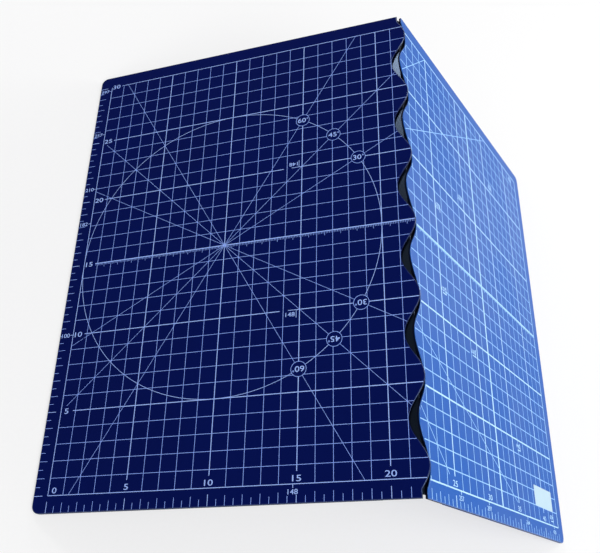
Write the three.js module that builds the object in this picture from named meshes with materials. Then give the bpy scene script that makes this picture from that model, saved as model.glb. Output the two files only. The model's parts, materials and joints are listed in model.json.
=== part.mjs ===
// A folding cutting mat: two laminated halves that meet in a wavy seam, joined by a film hinge on the back.
// It stands as a tent on its two outer edges, with the seam along Y at the top and the printed faces outside.
import * as THREE from "three";

// Driving dimensions, in millimetres and degrees.
const MAT_WIDTH = 450; // across both halves, laid open
const MAT_LENGTH = 320; // along the seam
const CORNER_RADIUS = 5; // of the four outer corners
const FOLD_ANGLE = 72; // how far the halves are turned from lying open
const PRINT_THICKNESS = 0.5; // the printed sheet
const CORE_THICKNESS = 1.1; // the core board
const TAPE_THICKNESS = 0.15; // the bond tape between the core and the hinge film
const FILM_THICKNESS = 0.3; // the hinge film, which lies flush with the back sheets
const BOND_LINE = 0.05; // between two layers that are bonded
const PIVOT_DROP = 0.45; // from the film's inner face to the axis that it folds about
const WAVE_COUNT = 6.5; // waves along the seam
const WAVE_HEIGHT = 4.8; // how far the seam swings to each side
const SEAM_END = 4.5; // straight run of the seam at each end of the mat
const SEAM_GAP = 0.3; // between the two halves, laid open
const FILM_LENGTH = 316; // the film stops short of the mat's ends
const LEAF_WIDTH = 20; // from the fold to the film's long edge
const TAPE_WIDTH = 13; // the film is free between the two tapes
const TAPE_INSET = 0.5; // from the film's edges to the tape
const FILM_GAP = 0.3; // between the film's long edges and the back sheets

// How finely the round shapes are drawn.
const STEPS_PER_WAVE = 32;
const CORNER_STEPS = 6;

// Colours and roughness of the pieces.
const NAVY = 0x0a1450;
const BLUE = 0x4f78cc;
const CORE_BLACK = 0x0b0c0f;
const FILM_BLACK = 0x0c0d10;
const TAPE_WHITE = 0xd8d4c6;
const PRINT_ROUGHNESS = 0.55;
const CORE_ROUGHNESS = 0.4;
const BACK_ROUGHNESS = 0.65;
const TAPE_ROUGHNESS = 0.8;
const FILM_ROUGHNESS = 0.25;

// Sizes that follow from the driving dimensions.
const HALF_WIDTH = MAT_WIDTH / 2;
const HALF_LENGTH = MAT_LENGTH / 2;
const WAVED_LENGTH = MAT_LENGTH - 2 * SEAM_END;
const WAVE_LENGTH = WAVED_LENGTH / WAVE_COUNT;
const SLOPE = THREE.MathUtils.degToRad(FOLD_ANGLE / 2);

// Heights of the layers above the fold's axis, in the frame of one half.
const BACK_BOTTOM = PIVOT_DROP;
const TAPE_BOTTOM = BACK_BOTTOM + FILM_THICKNESS + BOND_LINE;
const CORE_BOTTOM = TAPE_BOTTOM + TAPE_THICKNESS + BOND_LINE;
const PRINT_BOTTOM = CORE_BOTTOM + CORE_THICKNESS + BOND_LINE;
const BACK_THICKNESS = CORE_BOTTOM - BOND_LINE - BACK_BOTTOM;

// The axis is as high as makes the back's outer edge touch the floor.
const PIVOT_HEIGHT = HALF_WIDTH * Math.sin(SLOPE) - BACK_BOTTOM * Math.cos(SLOPE);

// How far the seam lies to the right of the mat's middle, at a place along its length.
function seamAt(y) {
  if (Math.abs(y) >= WAVED_LENGTH / 2) return 0;
  return WAVE_HEIGHT * Math.cos((2 * Math.PI * y) / WAVE_LENGTH);
}

// Points along one half's side of the seam, from the near end of the mat to the far end.
function seamEdge(side) {
  const edge = (side * SEAM_GAP) / 2;
  const points = [new THREE.Vector2(edge, -HALF_LENGTH)];
  const steps = WAVE_COUNT * STEPS_PER_WAVE;
  for (let i = 0; i <= steps; i++) {
    const y = WAVED_LENGTH * (i / steps - 0.5);
    points.push(new THREE.Vector2(edge + seamAt(y), y));
  }
  points.push(new THREE.Vector2(edge, HALF_LENGTH));
  return points;
}

// A straight inner edge, as the back sheets have beside the hinge film.
function straightEdge(side) {
  const x = side * (LEAF_WIDTH + FILM_GAP);
  return [new THREE.Vector2(x, -HALF_LENGTH), new THREE.Vector2(x, HALF_LENGTH)];
}

// The outline of one half's sheet, seen from its printed face: round outer corners and the given inner edge.
// side is -1 for the left half and 1 for the right.
function sheetOutline(side, innerEdge) {
  const outer = side * HALF_WIDTH;
  const inner = side * (HALF_WIDTH - CORNER_RADIUS);
  const cornerY = HALF_LENGTH - CORNER_RADIUS;
  const clockwise = side > 0;
  const turn = (angle) => (side > 0 ? angle : Math.PI - angle);
  const shape = new THREE.Shape(innerEdge);
  shape.lineTo(inner, HALF_LENGTH);
  shape.absarc(inner, cornerY, CORNER_RADIUS, turn(Math.PI / 2), turn(0), clockwise);
  shape.lineTo(outer, -cornerY);
  shape.absarc(inner, -cornerY, CORNER_RADIUS, turn(0), turn(-Math.PI / 2), clockwise);
  return shape;
}

// A strip along the seam from one distance to another, on the given side of it.
function stripOutline(side, near, far) {
  const shape = new THREE.Shape();
  shape.moveTo(side * near, -FILM_LENGTH / 2);
  shape.lineTo(side * far, -FILM_LENGTH / 2);
  shape.lineTo(side * far, FILM_LENGTH / 2);
  shape.lineTo(side * near, FILM_LENGTH / 2);
  return shape;
}

// A named flat layer of one half, lying between two heights.
function layer(name, outline, bottom, thickness, material) {
  const options = { depth: thickness, bevelEnabled: false, curveSegments: CORNER_STEPS };
  const geometry = new THREE.ExtrudeGeometry(outline, options);
  const mesh = new THREE.Mesh(geometry, material);
  mesh.name = name;
  mesh.position.z = bottom;
  return mesh;
}

function plastic(color, roughness) {
  return new THREE.MeshStandardMaterial({ color, roughness, metalness: 0 });
}

// One half, in its own frame: the origin is on the fold's axis and the printed face looks along +Z.
function matHalf(side, name, color) {
  const half = new THREE.Group();
  const waved = sheetOutline(side, seamEdge(side));
  const straight = sheetOutline(side, straightEdge(side));
  const tapeFar = LEAF_WIDTH - TAPE_INSET;
  const tape = stripOutline(side, tapeFar - TAPE_WIDTH, tapeFar);
  const leaf = stripOutline(side, BOND_LINE, LEAF_WIDTH);
  half.add(
    layer(name + "_print_sheet", waved, PRINT_BOTTOM, PRINT_THICKNESS, plastic(color, PRINT_ROUGHNESS)),
    layer(name + "_core_board", waved, CORE_BOTTOM, CORE_THICKNESS, plastic(CORE_BLACK, CORE_ROUGHNESS)),
    layer(name + "_back_sheet", straight, BACK_BOTTOM, BACK_THICKNESS, plastic(color, BACK_ROUGHNESS)),
    layer(name + "_bond_tape", tape, TAPE_BOTTOM, TAPE_THICKNESS, plastic(TAPE_WHITE, TAPE_ROUGHNESS)),
    layer(name + "_film_leaf", leaf, BACK_BOTTOM, FILM_THICKNESS, plastic(FILM_BLACK, FILM_ROUGHNESS)),
  );
  half.rotation.y = side * SLOPE;
  return half;
}

// The bent part of the film, an arc about the fold's axis from one leaf to the other.
function filmCrease() {
  const innerRadius = PIVOT_DROP;
  const outerRadius = PIVOT_DROP + FILM_THICKNESS;
  const from = Math.PI / 2 - SLOPE;
  const to = Math.PI / 2 + SLOPE;
  const shape = new THREE.Shape();
  shape.absarc(0, 0, outerRadius, from, to, false);
  shape.absarc(0, 0, innerRadius, to, from, true);
  const crease = layer("hinge_film_crease", shape, 0, FILM_LENGTH, plastic(FILM_BLACK, FILM_ROUGHNESS));
  crease.rotation.x = Math.PI / 2;
  crease.position.y = FILM_LENGTH / 2;
  return crease;
}

const mat = new THREE.Group();
mat.add(matHalf(-1, "left", NAVY), matHalf(1, "right", BLUE), filmCrease());
mat.position.z = PIVOT_HEIGHT;

const root = new THREE.Group();
root.add(mat);

export default root;
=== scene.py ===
# A folding cutting mat that stands half open as a tent: its finishes, printed scale, hinge film and studio.
import json
import math
from collections import namedtuple

import bmesh
import bpy
from mathutils import Matrix, Quaternion, Vector


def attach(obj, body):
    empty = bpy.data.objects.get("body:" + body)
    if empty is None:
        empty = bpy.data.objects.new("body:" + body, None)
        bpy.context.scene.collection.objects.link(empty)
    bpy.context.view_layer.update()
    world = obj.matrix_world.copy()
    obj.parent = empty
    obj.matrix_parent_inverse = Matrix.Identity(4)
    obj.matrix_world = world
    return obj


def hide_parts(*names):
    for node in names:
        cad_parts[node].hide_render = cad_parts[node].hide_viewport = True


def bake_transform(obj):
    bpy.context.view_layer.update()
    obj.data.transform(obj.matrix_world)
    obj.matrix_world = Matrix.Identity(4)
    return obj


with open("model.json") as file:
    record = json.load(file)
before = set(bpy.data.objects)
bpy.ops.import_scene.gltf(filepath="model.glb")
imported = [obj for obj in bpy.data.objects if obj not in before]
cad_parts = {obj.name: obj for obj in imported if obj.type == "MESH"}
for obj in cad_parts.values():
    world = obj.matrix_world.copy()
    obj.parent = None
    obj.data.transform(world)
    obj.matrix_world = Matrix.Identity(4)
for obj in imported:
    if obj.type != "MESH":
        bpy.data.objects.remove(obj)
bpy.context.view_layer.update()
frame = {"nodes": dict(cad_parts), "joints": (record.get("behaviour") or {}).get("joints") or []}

MM = 0.001
CM = 0.01

# The fold, from the frame. The halves lie open at the joint's lower limit.
FOLD_JOINT = frame["joints"][0]
PIVOT = Vector(FOLD_JOINT["pos_m"])
SLOPE = math.radians(-FOLD_JOINT["range_deg"][0] / 2)

# The printed scale. Places on it are in centimetres from the zero corner of its grid.
COLUMNS = 43
ROWS = 30
MARGIN = 1.0  # from the grid to the mat's edges
PRINT_SHIFT = 0.04  # how far the print lies to the left of the mat's middle
FIFTH = 5  # every fifth line is wider and has a number
FOLD_COLUMN = COLUMNS / 2 + PRINT_SHIFT
MIDDLE_ROW = ROWS / 2
BOLD_COLUMN = 32
ANGLE_CENTRE = Vector((10, MIDDLE_ROW))
ANGLE_RADIUS = 10
ANGLES = (30, 45, 60)
SHEET_SIZES = ((14.8, 10.0), (25.7, 18.2), (29.7, 21.0), (36.4, 25.7), (42.0, 29.7))
PATCH_LOW = Vector((38.4, 1.0))
PATCH_HIGH = Vector((42.1, 2.4))
PATCH_RADIUS = 0.06

# The wavy seam of the solids, in centimetres.
WAVE_COUNT = 6.5
WAVE_HEIGHT = 0.48
SEAM_END = 0.45
SEAM_GAP = 0.03
WAVED_LENGTH = ROWS + 2 * MARGIN - 2 * SEAM_END
WAVE_LENGTH = WAVED_LENGTH / WAVE_COUNT

# Widths of the printed lines on the navy half, in centimetres, and how many times wider the blue half's are.
THIN_LINE = 0.0275
FIFTH_LINE = 0.046
BORDER_LINE = 0.039
MIDDLE_LINE = 0.058
BOLD_LINE = 0.078
ANGLE_LINE = 0.0225
CIRCLE_LINE = 0.028
MARK_LINE = 0.032
TICK_LINE = 0.026
FIFTH_TICK_LINE = 0.034
FINE_TICK_LINE = 0.024
BLUE_LINE_SCALE = 2.15

# Lengths of the ticks, in centimetres. The rulers' are for half centimetres, centimetres and every fifth.
TICKS_PER_CM = 2
SIDE_TICKS = (0.4, 0.6, 0.64)
FRONT_TICKS = (0.4, 0.58, 0.66)
FINE_TICK = 0.16
FINE_HALF_TICK = 0.29

# Numbers, and the bare places that the lines leave for them, in centimetres. A size is the height of the
# digits and how many times they are stretched across, and a blank is a width and a height.
LABEL_SIZE = (0.33, 1.4)
LABEL_COLUMN = 0.38
LABEL_ROW = 0.29
SIDE_LABEL_BLANK = (0.8, 0.66)
SIDE_BLANK_SHIFT = Vector((0.05, 0))
FRONT_LABEL_BLANK = (1.96, 0.66)
FRONT_BLANK_SHIFT = Vector((0, 0.05))
BADGE_RADIUS = 0.45
BADGE_LABEL_SIZE = (0.34, 1.22)
BADGE_LABEL_PLACE = Vector((-0.06, 0))
DEGREE_PLACE = Vector((0.31, 0.12))
DEGREE_RADIUS = 0.04
MARK_LENGTH = 0.5
MARK_TICK = 0.2
MARK_LABEL_SIZE = (0.27, 1.15)
MARK_LABEL_PLACE = Vector((0.37, 0.27))
MARK_LABEL_BLANK = (0.62, 0.34)
SHEET_MARK_BLANK = (1.05, 0.6)
SIDE_MARK_COLUMN = -0.53
FRONT_MARK_ROW = -0.4
DIGIT_WEIGHT = 0.003  # how far the digits' outlines are swollen, for a font of size 1
DIGIT_DEPTH = 0.1  # of the digits as they are drawn, before the ink's heights replace it

# Heights of the ink above the printed face, in metres. Lines that cross lie at different heights.
INK_ROOT = -0.02 * MM
ROW_INK = 0.02 * MM
COLUMN_INK = 0.03 * MM
ANGLE_INK = 0.04 * MM
MARK_INK = 0.05 * MM
PATCH_INK = 0.06 * MM

# The material slots of a printed piece. Thin lines have an ink of their own, which covers less.
WIDE_SLOT = 0
THIN_SLOT = 1

# How the printed lines are cut and curved, in centimetres and radians.
INK_INSET = 0.04  # from the sheets' edges to the print
CLIP_STEP = 0.1
CROSSING_STEPS = 12
ARC_STEP = math.radians(2.5)
DEGREE_STEP = math.radians(30)

# The edges of the solids, in metres and radians. The printed sheets' upper edges are rolled, and the rest
# are only broken.
WELD_REACH = 0.001 * MM
FLAT_ANGLE = math.radians(0.5)
SHARP_ANGLE = math.radians(40)
BACK_EDGE = 0.08 * MM
CORE_EDGE = 0.04 * MM
TAPE_EDGE = 0.02 * MM
EDGE_STEPS = 2
ROLLED_EDGE = 0.4 * MM
ROLL_STEPS = 4
RIM_REACH = 0.01 * MM  # what lies this near the printed face belongs to its rim
SIDE_LEAN = 0.5  # the most that a cut side's normal points up

# The hinge film's bend.
BEND_STEPS = 10

# The two shades that each surface drifts between, in linear light, and the tints of two glosses.
NAVY = ((0.0009, 0.0043, 0.067), (0.0016, 0.0063, 0.088))
BLUE = ((0.006, 0.088, 0.41), (0.01, 0.11, 0.46))
NAVY_INK = ((0.31, 0.46, 0.98), (0.39, 0.545, 1.0))
NAVY_THIN_INK = ((0.24, 0.39, 1.0), (0.32, 0.47, 1.0))
BLUE_INK = ((0.42, 0.69, 0.97), (0.51, 0.77, 1.0))
BLUE_THIN_INK = ((0.29, 0.55, 0.9), (0.36, 0.62, 0.96))
PATCH_PALE = ((0.44, 0.62, 0.73), (0.52, 0.68, 0.78))
CORE_BLACK = ((0.0012, 0.0024, 0.011), (0.002, 0.0038, 0.017))
FILM_BLACK = ((0.0016, 0.0024, 0.004), (0.0032, 0.0046, 0.0075))
TAPE_CREAM = ((0.55, 0.5, 0.42), (0.68, 0.65, 0.57))
FLOOR_WHITE = ((0.86, 0.86, 0.86), (0.9, 0.9, 0.9))
CUT_TINT = (0.5, 0.72, 1)
FILM_TINT = (0.38, 0.6, 1)

# The sheen of the two printed faces: the range of their roughness, and their specular level.
NAVY_SHEEN = ((0.65, 0.8), 0.02)
BLUE_SHEEN = ((0.35, 0.5), 0.09)

# The noise patterns in the materials, and the range that most of their values lie in.
CLOUD_DETAIL = 3
GRAIN_DETAIL = 2
NOISE_RANGE = (0.3, 0.7)

# The photograph's camera, in metres, degrees and pixels.
CAMERA_PLACE = Vector((-0.1724, -0.2212, 0.4523))
CAMERA_AIM = Vector((-0.0393, -0.0425, 0.08))
CAMERA_ROLL = 41.4
FOCAL_LENGTH = 712.8
LENS_SHIFT = Vector((-15.1, 35.1))
PHOTO_WIDTH = 600
SENSOR_WIDTH = 36.0
NEAREST_SEEN = 0.01

# The floor, in metres, and how far it is lifted to white where it is seen: in part beside the mat, so that
# the shadow stays, and wholly further out.
FLOOR_SIZE = 80
FLOOR_LIFT = 0.6
LIFT_REACH = (0.25, 0.75)

# The world's colours, and how far up each of them lies: 0 is the horizon and 1 is overhead.
SKY_WHITE = (1, 1, 1, 1)
SKY_WHITE_TOP = 0.25
SKY_GREY = (0.25, 0.25, 0.26, 1)
SKY_GREY_BOTTOM = 0.6


class Half:
    """One half of the mat: its side of the fold, its finishes, and where its own frame stands.

    side is -1 for the left half and 1 for the right, and line_scale says how many times wider than the
    named widths its printed lines are.
    """

    def __init__(self, name, side, shades, sheen, ink, thin_ink, line_scale):
        self.name = name
        self.side = side
        self.shades = shades
        self.vinyl = printed_vinyl(name + "_print", shades, sheen)
        self.cut = cut_vinyl(name + "_cut", shades)
        self.inks = (pale_ink(name + "_ink", ink), pale_ink(name + "_thin_ink", thin_ink))
        self.line_scale = line_scale
        self.body = name + "_half"
        self.place = Matrix.Translation(PIVOT) @ Matrix.Rotation(side * SLOPE, 4, "Y")
        self.up = self.place.to_3x3() @ Vector((0, 0, 1))
        self.face = self.reach(name + "_print_sheet")[1].z

    def reach(self, node):
        """The lowest and highest corner of a node, in this half's own frame."""
        to_half = self.place.inverted()
        points = [to_half @ vertex.co for vertex in frame["nodes"][node].data.vertices]
        low = Vector([min(point[axis] for point in points) for axis in range(3)])
        high = Vector([max(point[axis] for point in points) for axis in range(3)])
        return low, high

    def has(self, spot):
        """Whether a spot of the print lies on this half, clear of its edge at the seam."""
        return self.side * (spot.x - seam_column(spot.y)) > SEAM_GAP / 2 + INK_INSET

    def world(self, spot, height):
        """Where a spot of the print is, at a height above the printed face."""
        across = (spot.x - FOLD_COLUMN) * CM
        along = (spot.y - MIDDLE_ROW) * CM
        return self.place @ Vector((across, along, self.face + height))


def seam_column(row):
    """The column that the seam runs through, at a row of the print."""
    along = row - MIDDLE_ROW
    if abs(along) >= WAVED_LENGTH / 2:
        return FOLD_COLUMN
    return FOLD_COLUMN + WAVE_HEIGHT * math.cos(2 * math.pi * along / WAVE_LENGTH)


# Materials. Lengths in them are in metres, and their grain follows each piece's own coordinates.
def add_noise(tree, vector, size, detail):
    """A noise pattern of the given size."""
    noise = tree.nodes.new("ShaderNodeTexNoise")
    noise.inputs["Scale"].default_value = 1 / size
    noise.inputs["Detail"].default_value = detail
    tree.links.new(vector, noise.inputs["Vector"])
    return noise.outputs["Fac"]


def add_range(tree, value, known, wanted):
    """Carries a value over from one range to another."""
    spread = tree.nodes.new("ShaderNodeMapRange")
    sockets = ("From Min", "From Max", "To Min", "To Max")
    for socket, limit in zip(sockets, (*known, *wanted)):
        spread.inputs[socket].default_value = limit
    tree.links.new(value, spread.inputs["Value"])
    return spread.outputs["Result"]


def add_math(tree, operation, first, second):
    """An operation on two values."""
    result = tree.nodes.new("ShaderNodeMath")
    result.operation = operation
    tree.links.new(first, result.inputs[0])
    tree.links.new(second, result.inputs[1])
    return result.outputs["Value"]


def add_mean(tree, first, second):
    """The mean of two values."""
    mean = tree.nodes.new("ShaderNodeMix")
    mean.inputs["Factor"].default_value = 1 / 2
    tree.links.new(first, mean.inputs["A"])
    tree.links.new(second, mean.inputs["B"])
    return mean.outputs["Result"]


def add_colour(tree, share, shades):
    """A colour between two shades, by a share from 0 to 1."""
    colour = tree.nodes.new("ShaderNodeMix")
    colour.data_type = "RGBA"
    inputs = {socket.identifier: socket for socket in colour.inputs}
    outputs = {socket.identifier: socket for socket in colour.outputs}
    for name, shade in zip(("A_Color", "B_Color"), shades):
        inputs[name].default_value = (*shade, 1)
    tree.links.new(share, inputs["Factor_Float"])
    return outputs["Result_Color"]


def surface(name, shades, roughness, specular, cloud, grain, relief, stretch=(1, 1, 1), tint=(1, 1, 1)):
    """A material whose colour drifts between two shades in clouds and grain, with a fine relief.

    cloud and grain are the sizes of the two patterns, and relief is the depth of the grain. stretch says how
    much finer the patterns are along each axis, and tint is the colour of the gloss.
    """
    material = bpy.data.materials.new(name)
    material.use_nodes = True
    tree = material.node_tree
    shader = tree.nodes["Principled BSDF"]
    place = tree.nodes.new("ShaderNodeTexCoord")
    mapping = tree.nodes.new("ShaderNodeMapping")
    mapping.inputs["Scale"].default_value = stretch
    tree.links.new(place.outputs["Object"], mapping.inputs["Vector"])
    clouds = add_noise(tree, mapping.outputs["Vector"], cloud, CLOUD_DETAIL)
    grains = add_noise(tree, mapping.outputs["Vector"], grain, GRAIN_DETAIL)
    share = add_range(tree, add_mean(tree, clouds, grains), NOISE_RANGE, (0, 1))
    tree.links.new(add_colour(tree, share, shades), shader.inputs["Base Color"])
    tree.links.new(add_range(tree, clouds, NOISE_RANGE, roughness), shader.inputs["Roughness"])
    bump = tree.nodes.new("ShaderNodeBump")
    bump.inputs["Distance"].default_value = relief
    tree.links.new(grains, bump.inputs["Height"])
    tree.links.new(bump.outputs["Normal"], shader.inputs["Normal"])
    shader.inputs["Specular IOR Level"].default_value = specular
    shader.inputs["Specular Tint"].default_value = (*tint, 1)
    return material


def printed_vinyl(name, shades, sheen):
    """The knife-proof printed face, with a fine even grain."""
    roughness, specular = sheen
    return surface(name, shades, roughness, specular, cloud=60 * MM, grain=0.35 * MM, relief=0.012 * MM)


def cut_vinyl(name, shades):
    """The cut sides of a printed sheet, which the die left smooth."""
    return surface(
        name, shades, roughness=(0.22, 0.3), specular=1.0,
        cloud=30 * MM, grain=0.5 * MM, relief=0.004 * MM, tint=CUT_TINT,
    )


def back_vinyl(name, shades):
    """The plain back: the same plastic with a coarser grip texture."""
    return surface(
        name, shades, roughness=(0.6, 0.75), specular=0.2,
        cloud=45 * MM, grain=0.8 * MM, relief=0.03 * MM,
    )


def cut_core():
    """The black core board. Its cut edge has fine marks across its thickness, left by the die."""
    return surface(
        "core_black", CORE_BLACK, roughness=(0.5, 0.65), specular=0.03,
        cloud=30 * MM, grain=0.5 * MM, relief=0.01 * MM, stretch=(0.1, 1, 0.1),
    )


def gloss_film():
    """The smooth black hinge film, drawn lengthwise."""
    return surface(
        "hinge_film", FILM_BLACK, roughness=(0.235, 0.27), specular=0.5,
        cloud=40 * MM, grain=1.5 * MM, relief=0.002 * MM, stretch=(1, 0.06, 1), tint=FILM_TINT,
    )


def bond_tape():
    """The adhesive strip between a core board and the hinge film."""
    return surface(
        "bond_tape", TAPE_CREAM, roughness=(0.6, 0.8), specular=0.3,
        cloud=12 * MM, grain=0.6 * MM, relief=0.02 * MM,
    )


def pale_ink(name, shades):
    """Screen-printed ink, a little uneven in its cover."""
    return surface(
        name, shades, roughness=(0.5, 0.65), specular=0.05,
        cloud=18 * MM, grain=0.3 * MM, relief=0.006 * MM,
    )


def patch_ink():
    """The pale ink of the bare patch."""
    return surface(
        "patch_ink", PATCH_PALE, roughness=(0.5, 0.65), specular=0.15,
        cloud=8 * MM, grain=0.3 * MM, relief=0.006 * MM,
    )


def floor_paper():
    """The floor's pale matt paper."""
    return surface(
        "paper", FLOOR_WHITE, roughness=(0.8, 0.9), specular=0.1,
        cloud=500 * MM, grain=2 * MM, relief=0.01 * MM,
    )


CORE = cut_core()
TAPE = bond_tape()
LEFT = Half("left", -1, NAVY, NAVY_SHEEN, NAVY_INK, NAVY_THIN_INK, line_scale=1)
RIGHT = Half("right", 1, BLUE, BLUE_SHEEN, BLUE_INK, BLUE_THIN_INK, line_scale=BLUE_LINE_SCALE)
HALVES = (LEFT, RIGHT)


# The finish of the solids.
def dress(node, material, edge):
    """Gives a solid its material, and rounds its sharp edges by a hair."""
    piece = frame["nodes"][node]
    piece.data.materials.clear()
    piece.data.materials.append(material)
    for polygon in piece.data.polygons:
        polygon.use_smooth = True
    weld = piece.modifiers.new("weld", "WELD")
    weld.merge_threshold = WELD_REACH
    merge = piece.modifiers.new("merge", "DECIMATE")
    merge.decimate_type = "DISSOLVE"
    merge.angle_limit = FLAT_ANGLE
    bevel = piece.modifiers.new("edge", "BEVEL")
    bevel.width = edge
    bevel.segments = EDGE_STEPS
    bevel.limit_method = "ANGLE"
    bevel.angle_limit = SHARP_ANGLE
    normals = piece.modifiers.new("normals", "WEIGHTED_NORMAL")
    normals.keep_sharp = False


def roll_edge(half):
    """Keeps a printed sheet's rounding to its upper edge, and gives that and its cut sides a shine."""
    piece = frame["nodes"][half.name + "_print_sheet"]
    cut_slot = len(piece.data.materials)
    piece.data.materials.append(half.cut)
    for polygon in piece.data.polygons:
        if abs(polygon.normal.dot(half.up)) < SIDE_LEAN:
            polygon.material_index = cut_slot
    to_half = half.place.inverted()
    heights = [(to_half @ vertex.co).z for vertex in piece.data.vertices]
    rim = piece.vertex_groups.new(name="rim")
    rim.add([index for index, height in enumerate(heights) if height > half.face - RIM_REACH], 1, "REPLACE")
    roll = piece.modifiers["edge"]
    roll.limit_method = "VGROUP"
    roll.vertex_group = rim.name
    roll.segments = ROLL_STEPS
    roll.material = cut_slot


def dress_half(half):
    dress(half.name + "_print_sheet", half.vinyl, ROLLED_EDGE)
    roll_edge(half)
    dress(half.name + "_core_board", CORE, CORE_EDGE)
    dress(half.name + "_back_sheet", back_vinyl(half.name + "_back", half.shades), BACK_EDGE)
    dress(half.name + "_bond_tape", TAPE, TAPE_EDGE)


# Pieces of mesh.
def add_piece(name, mesh, *materials):
    """A new piece from a finished mesh, with its faces turned out."""
    bmesh.ops.recalc_face_normals(mesh, faces=mesh.faces)
    data = bpy.data.meshes.new(name)
    mesh.to_mesh(data)
    mesh.free()
    for material in materials:
        data.materials.append(material)
    piece = bpy.data.objects.new(name, data)
    bpy.context.scene.collection.objects.link(piece)
    return piece


def drawn_text(text):
    """A mesh of a text, in the font that Blender comes with."""
    curve = bpy.data.curves.new(text, "FONT")
    curve.body = text
    curve.extrude = DIGIT_DEPTH
    curve.offset = DIGIT_WEIGHT
    holder = bpy.data.objects.new(text, curve)
    bpy.context.scene.collection.objects.link(holder)
    bpy.context.view_layer.update()
    drawn = bpy.data.meshes.new_from_object(holder.evaluated_get(bpy.context.evaluated_depsgraph_get()))
    bpy.data.objects.remove(holder)
    bpy.data.curves.remove(curve)
    return drawn


def box_blank(centre, size):
    """A test for spots inside a rectangle that the lines leave bare."""
    wide, high = size
    return lambda spot: abs(spot.x - centre.x) < wide / 2 and abs(spot.y - centre.y) < high / 2


def round_blank(centre, radius):
    """A test for spots inside a circle that the lines leave bare."""
    return lambda spot: (spot - centre).length < radius


def crossing(kept, start, end):
    """The spot between two others where the test changes, on the side that passes it."""
    first = kept(start)
    for _ in range(CROSSING_STEPS):
        middle = (start + end) / 2
        if kept(middle) == first:
            start = middle
        else:
            end = middle
    return start if first else end


def stretches(spots, kept):
    """The stretches of a line through the spots that pass the test."""
    found = []
    current = [spots[0]] if kept(spots[0]) else []
    for start, end in zip(spots, spots[1:]):
        steps = max(1, math.ceil((end - start).length / CLIP_STEP))
        before = start
        for step in range(1, steps + 1):
            here = start.lerp(end, step / steps)
            if kept(here) != kept(before):
                current.append(crossing(kept, before, here))
                if not kept(here):
                    found.append(current)
                    current = []
            before = here
        if kept(end):
            current.append(end)
    found.append(current)
    return [stretch for stretch in found if len(stretch) > 1]


def arc(centre, radius, start, end, turn_step=ARC_STEP):
    """Spots along an arc, between two angles in radians."""
    steps = math.ceil(abs(end - start) / turn_step)
    turns = [start + (end - start) * step / steps for step in range(steps + 1)]
    return [centre + radius * Vector((math.cos(turn), math.sin(turn))) for turn in turns]


def ring(centre, radius, turn_step):
    """Spots round a whole circle, each of them once."""
    return arc(centre, radius, 0, 2 * math.pi, turn_step)[:-1]


class Ink:
    """Printed lines and numbers of one kind on one half, gathered into one piece."""

    def __init__(self, half, kind, blanks):
        self.half = half
        self.name = half.name + "_" + kind
        self.blanks = blanks
        self.mesh = bmesh.new()

    def kept(self, spot):
        """Whether a spot is printed: it lies on this half, outside the bare places."""
        return self.half.has(spot) and not any(blank(spot) for blank in self.blanks)

    def line(self, spots, width, height):
        """A line through the spots, left out where it crosses the seam or a bare place."""
        for stretch in stretches(spots, self.kept):
            self.strip(stretch, width, height)

    def strip(self, spots, width, height, closed=False):
        """A flat strip of ink along the spots."""
        ink = THIN_SLOT if width <= THIN_LINE else WIDE_SLOT
        half_width = width * self.half.line_scale / 2
        sections = []
        count = len(spots)
        for index, spot in enumerate(spots):
            before = spots[index - 1] if index or closed else spot
            after = spots[(index + 1) % count] if index + 1 < count or closed else spot
            side = Vector((before.y - after.y, after.x - before.x)).normalized()
            edge = after - spot if after != spot else spot - before
            square = Vector((-edge.y, edge.x)).normalized()
            reach = side * half_width / side.dot(square)
            corners = (
                (spot + reach, height),
                (spot - reach, height),
                (spot - reach, INK_ROOT),
                (spot + reach, INK_ROOT),
            )
            sections.append([self.mesh.verts.new(self.half.world(*corner)) for corner in corners])
        following = sections[1:] + sections[:1] if closed else sections[1:]
        for section, after in zip(sections, following):
            for index in range(len(section)):
                other = (index + 1) % len(section)
                wall = self.mesh.faces.new((section[index], section[other], after[other], after[index]))
                wall.material_index = ink
        if not closed:
            for end in (sections[0], sections[-1]):
                self.mesh.faces.new(end).material_index = ink

    def number(self, label):
        """A label's number about its centre, in the ink of the wide lines."""
        drawn = drawn_text(label.text)
        across = [vertex.co.x for vertex in drawn.vertices]
        up = [vertex.co.y for vertex in drawn.vertices]
        middle = Vector((max(across) + min(across), max(up) + min(up))) / 2
        high, stretch = label.size
        scale = label.sign * high / (max(up) - min(up))
        points = []
        for vertex in drawn.vertices:
            offset = (vertex.co.xy - middle) * scale
            offset.x *= stretch
            height = MARK_INK if vertex.co.z > 0 else INK_ROOT
            points.append(self.mesh.verts.new(self.half.world(label.centre + offset, height)))
        for polygon in drawn.polygons:
            self.mesh.faces.new([points[index] for index in polygon.vertices])
        bpy.data.meshes.remove(drawn)
        bmesh.ops.remove_doubles(self.mesh, verts=points, dist=WELD_REACH)

    def finish(self, *materials):
        """Makes the piece, in the half's own inks unless others are given."""
        piece = add_piece(self.name, self.mesh, *(materials or self.half.inks))
        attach(piece, self.half.body)


# The print's numbers, badges and corner marks. Those with the sign -1 read from the far side of the mat.
Label = namedtuple("Label", "text centre size sign")
Badge = namedtuple("Badge", "angle centre sign")
SheetMark = namedtuple("SheetMark", "corner text sign")


def side_labels():
    """Row numbers beside the left border."""
    rows = range(FIFTH, ROWS + 1, FIFTH)
    return [Label(str(row), Vector((LABEL_COLUMN, row)), LABEL_SIZE, 1) for row in rows]


def zero_label():
    """The zero of both rulers, in the corner."""
    return Label("0", Vector((LABEL_COLUMN, LABEL_ROW)), LABEL_SIZE, 1)


def front_labels():
    """Column numbers above the front border."""
    columns = range(FIFTH, COLUMNS, FIFTH)
    return [Label(str(column), Vector((column, LABEL_ROW)), LABEL_SIZE, 1) for column in columns]


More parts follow.
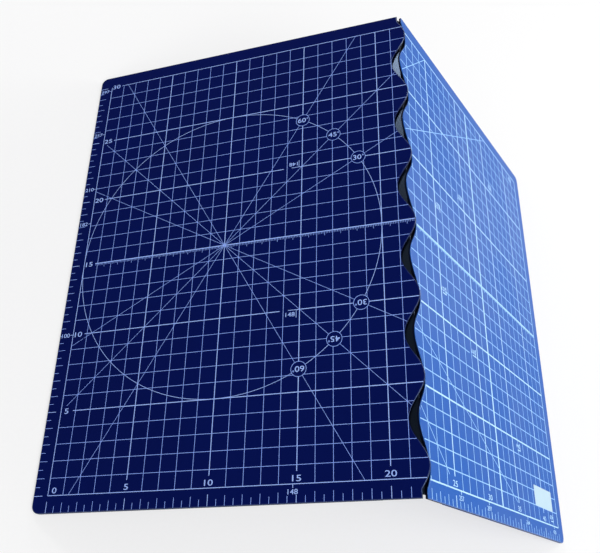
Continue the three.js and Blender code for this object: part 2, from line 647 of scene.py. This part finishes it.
def heading(angle):
    """The direction at an angle in degrees from the rows."""
    turn = math.radians(angle)
    return Vector((math.cos(turn), math.sin(turn)))


def badges():
    """The rings where the angle lines meet the circle."""
    found = []
    for angle in ANGLES:
        for sign in (1, -1):
            found.append(Badge(angle, ANGLE_CENTRE + ANGLE_RADIUS * heading(sign * angle), sign))
    return found


def badge_labels():
    """The angles, inside their badges."""
    found = []
    for badge in badges():
        centre = badge.centre + badge.sign * BADGE_LABEL_PLACE
        found.append(Label(str(badge.angle), centre, BADGE_LABEL_SIZE, badge.sign))
    return found


def in_millimetres(size):
    return str(round(size * CM / MM))


def margin_labels():
    """Heights of common sheets in the left margin, and their widths in the front one."""
    sides = [(high, Vector((SIDE_MARK_COLUMN, high))) for _, high in SHEET_SIZES]
    sides += [(wide, Vector((wide, FRONT_MARK_ROW))) for wide, _ in SHEET_SIZES]
    return [Label(in_millimetres(size), centre, MARK_LABEL_SIZE, 1) for size, centre in sides]


def sheet_marks():
    """The far corners of common sheets that are laid in the zero corner or in the far left corner."""
    near = [SheetMark(Vector((wide, high)), in_millimetres(wide), 1) for wide, high in SHEET_SIZES]
    far = [SheetMark(Vector((wide, ROWS - high)), in_millimetres(wide), -1) for wide, high in SHEET_SIZES]
    return near + far


def sheet_mark_labels():
    """Widths of common sheets, inside their corner marks."""
    found = []
    for mark in sheet_marks():
        centre = mark.corner - Vector((MARK_LABEL_PLACE.x, mark.sign * MARK_LABEL_PLACE.y))
        found.append(Label(mark.text, centre, MARK_LABEL_SIZE, mark.sign))
    return found


def bare_places():
    """The places that the lines leave for numbers."""
    blanks = [box_blank(label.centre + SIDE_BLANK_SHIFT, SIDE_LABEL_BLANK) for label in side_labels()]
    blanks += [box_blank(label.centre + FRONT_BLANK_SHIFT, FRONT_LABEL_BLANK) for label in front_labels()]
    blanks += [round_blank(badge.centre, BADGE_RADIUS) for badge in badges()]
    blanks += [box_blank(label.centre, MARK_LABEL_BLANK) for label in margin_labels()]
    return blanks


def row_blanks():
    """The places inside the corner marks, which only the rows leave bare."""
    blanks = []
    for mark in sheet_marks():
        middle = mark.corner - Vector((MARK_LENGTH, mark.sign * MARK_LENGTH / 2))
        blanks.append(box_blank(middle, SHEET_MARK_BLANK))
    return blanks


# The print, kind by kind.
def line_width(index, count):
    """The width of a line of the grid, by its place among the rows or columns."""
    if index in (0, count):
        return BORDER_LINE
    return FIFTH_LINE if index % FIFTH == 0 else THIN_LINE


def print_grid(half, blanks):
    rows = Ink(half, "grid_rows", blanks + row_blanks())
    for row in range(ROWS + 1):
        width = MIDDLE_LINE if row == MIDDLE_ROW else line_width(row, ROWS)
        rows.line([Vector((0, row)), Vector((COLUMNS, row))], width, ROW_INK)
    rows.finish()
    columns = Ink(half, "grid_columns", blanks)
    for column in range(COLUMNS + 1):
        width = BOLD_LINE if column == BOLD_COLUMN else line_width(column, COLUMNS)
        columns.line([Vector((column, 0)), Vector((column, ROWS))], width, COLUMN_INK)
    columns.finish()


def print_middle_scale(half, blanks):
    """Millimetre ticks along the front of the middle row."""
    scale = Ink(half, "middle_scale", blanks)
    for tick in range(round(COLUMNS * CM / MM)):
        length = FINE_HALF_TICK if tick % FIFTH == 0 else FINE_TICK
        top = Vector((tick * MM / CM, MIDDLE_ROW))
        scale.line([top, top - Vector((0, length))], FINE_TICK_LINE, ANGLE_INK)
    scale.finish()


def tick_form(tick, lengths):
    """The length and width of a ruler's tick, by its number from zero."""
    between, centimetre, fifth = lengths
    if tick % TICKS_PER_CM:
        return between, TICK_LINE
    if tick % (TICKS_PER_CM * FIFTH):
        return centimetre, TICK_LINE
    return fifth, FIFTH_TICK_LINE


def print_rulers(half, blanks):
    """Ticks from the edges of the mat: along its front, and up its left side."""
    ruler = Ink(half, "ruler", blanks)
    front = INK_INSET - MARGIN
    side = front + PRINT_SHIFT
    for tick in range(TICKS_PER_CM * COLUMNS + 1):
        length, width = tick_form(tick, FRONT_TICKS)
        column = tick / TICKS_PER_CM
        ruler.line([Vector((column, front)), Vector((column, length - MARGIN))], width, ROW_INK)
    for tick in range(TICKS_PER_CM * ROWS + 1):
        length, width = tick_form(tick, SIDE_TICKS)
        row = tick / TICKS_PER_CM
        ruler.line([Vector((side, row)), Vector((length - MARGIN, row))], width, ROW_INK)
    ruler.finish()


def to_border(direction):
    """The spot where a line from the angles' centre reaches the grid's border."""
    wide = COLUMNS - ANGLE_CENTRE.x if direction.x > 0 else ANGLE_CENTRE.x
    high = MIDDLE_ROW
    return ANGLE_CENTRE + direction * min(wide / abs(direction.x), high / abs(direction.y))


def print_angles(half, blanks):
    """Lines at the usual angles through one centre."""
    angles = Ink(half, "angle_lines", blanks)
    for angle in ANGLES:
        for sign in (1, -1):
            direction = heading(sign * angle)
            angles.line([to_border(-direction), to_border(direction)], ANGLE_LINE, ANGLE_INK)
    angles.finish()


def print_circle(half, blanks):
    """The circle about the angles' centre, and on it the badges' rings with their small degree signs."""
    circle = Ink(half, "angle_circle", blanks)
    circle.line(arc(ANGLE_CENTRE, ANGLE_RADIUS, 0, 2 * math.pi), CIRCLE_LINE, MARK_INK)
    for badge in badges():
        degree = badge.centre + badge.sign * DEGREE_PLACE
        circle.strip(ring(badge.centre, BADGE_RADIUS, ARC_STEP), THIN_LINE, MARK_INK, closed=True)
        circle.strip(ring(degree, DEGREE_RADIUS, DEGREE_STEP), THIN_LINE, MARK_INK, closed=True)
    circle.finish()


def print_sheet_marks(half):
    """Corner marks of common sheets, and the ticks for their sides in the margins."""
    marks = Ink(half, "sheet_marks", [])
    for mark in sheet_marks():
        inward = Vector((MARK_LENGTH, 0))
        back = Vector((0, mark.sign * MARK_LENGTH))
        marks.line([mark.corner - inward, mark.corner, mark.corner - back], MARK_LINE, MARK_INK)
    for wide, high in SHEET_SIZES:
        marks.line([Vector((wide, -MARK_TICK)), Vector((wide, 0))], MARK_LINE, MARK_INK)
        marks.line([Vector((-MARK_TICK, high)), Vector((0, high))], MARK_LINE, MARK_INK)
    marks.finish()


def print_numbers(half):
    numbers = Ink(half, "numbers", [])
    labels = side_labels() + [zero_label()] + front_labels() + badge_labels()
    labels += margin_labels() + sheet_mark_labels()
    for label in labels:
        if half.has(label.centre):
            numbers.number(label)
    numbers.finish()


def print_patch(half):
    """A plain pale patch in the front corner, with rounded corners."""
    patch = Ink(half, "blank_patch", [])
    inset = Vector((PATCH_RADIUS, PATCH_RADIUS))
    low = PATCH_LOW + inset
    high = PATCH_HIGH - inset
    corners = (high, Vector((low.x, high.y)), low, Vector((high.x, low.y)))
    outline = []
    for quarter, corner in enumerate(corners):
        start = quarter * math.pi / 2
        outline += arc(corner, PATCH_RADIUS, start, start + math.pi / 2)
    top = [patch.mesh.verts.new(half.world(spot, PATCH_INK)) for spot in outline]
    bottom = [patch.mesh.verts.new(half.world(spot, INK_ROOT)) for spot in outline]
    patch.mesh.faces.new(top)
    patch.mesh.faces.new(bottom)
    for index in range(len(outline)):
        patch.mesh.faces.new((top[index - 1], top[index], bottom[index], bottom[index - 1]))
    patch.finish(patch_ink())


def print_half(half):
    """What both halves carry. The grid and the rulers run on across the seam."""
    blanks = bare_places()
    print_grid(half, blanks)
    print_middle_scale(half, blanks)
    print_rulers(half, blanks)
    print_angles(half, blanks)
    print_sheet_marks(half)
    print_numbers(half)


# The hinge film, one strip from leaf to leaf round the fold.
def bend_arc(radius):
    """Points round the fold's axis from the left leaf to the right one."""
    turns = [SLOPE * (2 * step / BEND_STEPS - 1) for step in range(BEND_STEPS + 1)]
    return [PIVOT + radius * Vector((math.sin(turn), 0, math.cos(turn))) for turn in turns]


def film_face(height):
    """Points across the film from its left edge to its right one, at a height above the fold's axis."""
    left_edge = LEFT.reach("left_film_leaf")[0].x
    right_edge = RIGHT.reach("right_film_leaf")[1].x
    left = LEFT.place @ Vector((left_edge, 0, height))
    right = RIGHT.place @ Vector((right_edge, 0, height))
    return [left, *bend_arc(height), right]


def hinge_film():
    """The film in place of its three nodes, curved round the fold's axis from one leaf to the other."""
    low, high = LEFT.reach("left_film_leaf")
    section = film_face(high.z) + film_face(low.z)[::-1]
    mesh = bmesh.new()
    ends = [[mesh.verts.new(point + Vector((0, y, 0))) for point in section] for y in (low.y, high.y)]
    count = len(section)
    for index in range(count):
        mesh.faces.new((ends[0][index - 1], ends[0][index], ends[1][index], ends[1][index - 1]))
    for end in ends:
        for index in range(count // 2 - 1):
            mirror = count - 1 - index
            mesh.faces.new((end[index], end[index + 1], end[mirror - 1], end[mirror]))
    film = add_piece("hinge_film", mesh, gloss_film())
    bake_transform(film)
    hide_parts("left_film_leaf", "right_film_leaf", "hinge_film_crease")


# The studio.
def whiten(paper):
    """Lifts the floor towards white where it is seen, and not in the light that it throws on the mat."""
    tree = paper.node_tree
    path = tree.nodes.new("ShaderNodeLightPath")
    seen = path.outputs["Is Camera Ray"]
    for ray in ("Is Glossy Ray", "Is Transmission Ray"):
        seen = add_math(tree, "MAXIMUM", seen, path.outputs[ray])
    place = tree.nodes.new("ShaderNodeTexCoord")
    reach = tree.nodes.new("ShaderNodeVectorMath")
    reach.operation = "LENGTH"
    tree.links.new(place.outputs["Object"], reach.inputs[0])
    lift = add_range(tree, reach.outputs["Value"], LIFT_REACH, (FLOOR_LIFT, 1))
    white = tree.nodes.new("ShaderNodeEmission")
    mix = tree.nodes.new("ShaderNodeMixShader")
    tree.links.new(add_math(tree, "MULTIPLY", seen, lift), mix.inputs["Fac"])
    tree.links.new(tree.nodes["Principled BSDF"].outputs["BSDF"], mix.inputs[1])
    tree.links.new(white.outputs["Emission"], mix.inputs[2])
    tree.links.new(mix.outputs["Shader"], tree.nodes["Material Output"].inputs["Surface"])


def floor():
    edge = FLOOR_SIZE / 2
    mesh = bmesh.new()
    corners = [(-edge, -edge), (edge, -edge), (edge, edge), (-edge, edge)]
    mesh.faces.new([mesh.verts.new((x, y, 0)) for x, y in corners])
    paper = floor_paper()
    whiten(paper)
    piece = add_piece("floor", mesh, paper)


def softbox(name, azimuth, elevation, distance, wide, tall, power):
    """An area light that faces the mat. Azimuth is from +Y towards +X, and both angles are in degrees."""
    turn = math.radians(azimuth)
    rise = math.radians(elevation)
    way = Vector((math.sin(turn) * math.cos(rise), math.cos(turn) * math.cos(rise), math.sin(rise)))
    data = bpy.data.lights.new(name, "AREA")
    data.shape = "RECTANGLE"
    data.size = wide
    data.size_y = tall
    data.energy = power
    lamp = bpy.data.objects.new(name, data)
    lamp.location = PIVOT + way * distance
    lamp.rotation_mode = "QUATERNION"
    lamp.rotation_quaternion = (-way).to_track_quat("-Z", "Y")
    bpy.context.scene.collection.objects.link(lamp)


def sky():
    """A world that is white at the horizon and greyer overhead."""
    world = bpy.data.worlds.new("studio")
    world.use_nodes = True
    bpy.context.scene.world = world
    tree = world.node_tree
    place = tree.nodes.new("ShaderNodeTexCoord")
    split = tree.nodes.new("ShaderNodeSeparateXYZ")
    tree.links.new(place.outputs["Generated"], split.inputs["Vector"])
    ramp = tree.nodes.new("ShaderNodeValToRGB")
    white, grey = ramp.color_ramp.elements
    white.position = SKY_WHITE_TOP
    white.color = SKY_WHITE
    grey.position = SKY_GREY_BOTTOM
    grey.color = SKY_GREY
    tree.links.new(split.outputs["Z"], ramp.inputs["Fac"])
    tree.links.new(ramp.outputs["Color"], tree.nodes["Background"].inputs["Color"])


def camera():
    """The photograph's camera. Its lens is shifted, because the photograph's frame is cut off-centre."""
    data = bpy.data.cameras.new("camera")
    data.sensor_width = SENSOR_WIDTH
    data.lens = FOCAL_LENGTH * SENSOR_WIDTH / PHOTO_WIDTH
    data.shift_x = LENS_SHIFT.x / PHOTO_WIDTH
    data.shift_y = LENS_SHIFT.y / PHOTO_WIDTH
    data.clip_start = NEAREST_SEEN
    holder = bpy.data.objects.new("camera", data)
    holder.location = CAMERA_PLACE
    holder.rotation_mode = "QUATERNION"
    level = (CAMERA_AIM - CAMERA_PLACE).to_track_quat("-Z", "Y")
    holder.rotation_quaternion = level @ Quaternion((0, 0, 1), math.radians(CAMERA_ROLL))
    bpy.context.scene.collection.objects.link(holder)
    bpy.context.scene.camera = holder


camera()
for mat_half in HALVES:
    dress_half(mat_half)
    print_half(mat_half)
print_circle(LEFT, bare_places())
print_patch(RIGHT)
hinge_film()
floor()
softbox("key", azimuth=-30, elevation=28.5, distance=1.2, wide=0.2, tall=0.2, power=2.7)
softbox("main", azimuth=150, elevation=60, distance=1.4, wide=1.0, tall=1.0, power=13.0)
softbox("rim", azimuth=66, elevation=18, distance=0.9, wide=0.25, tall=0.8, power=3.6)
sky()
bpy.context.scene.view_settings.view_transform = "Standard"
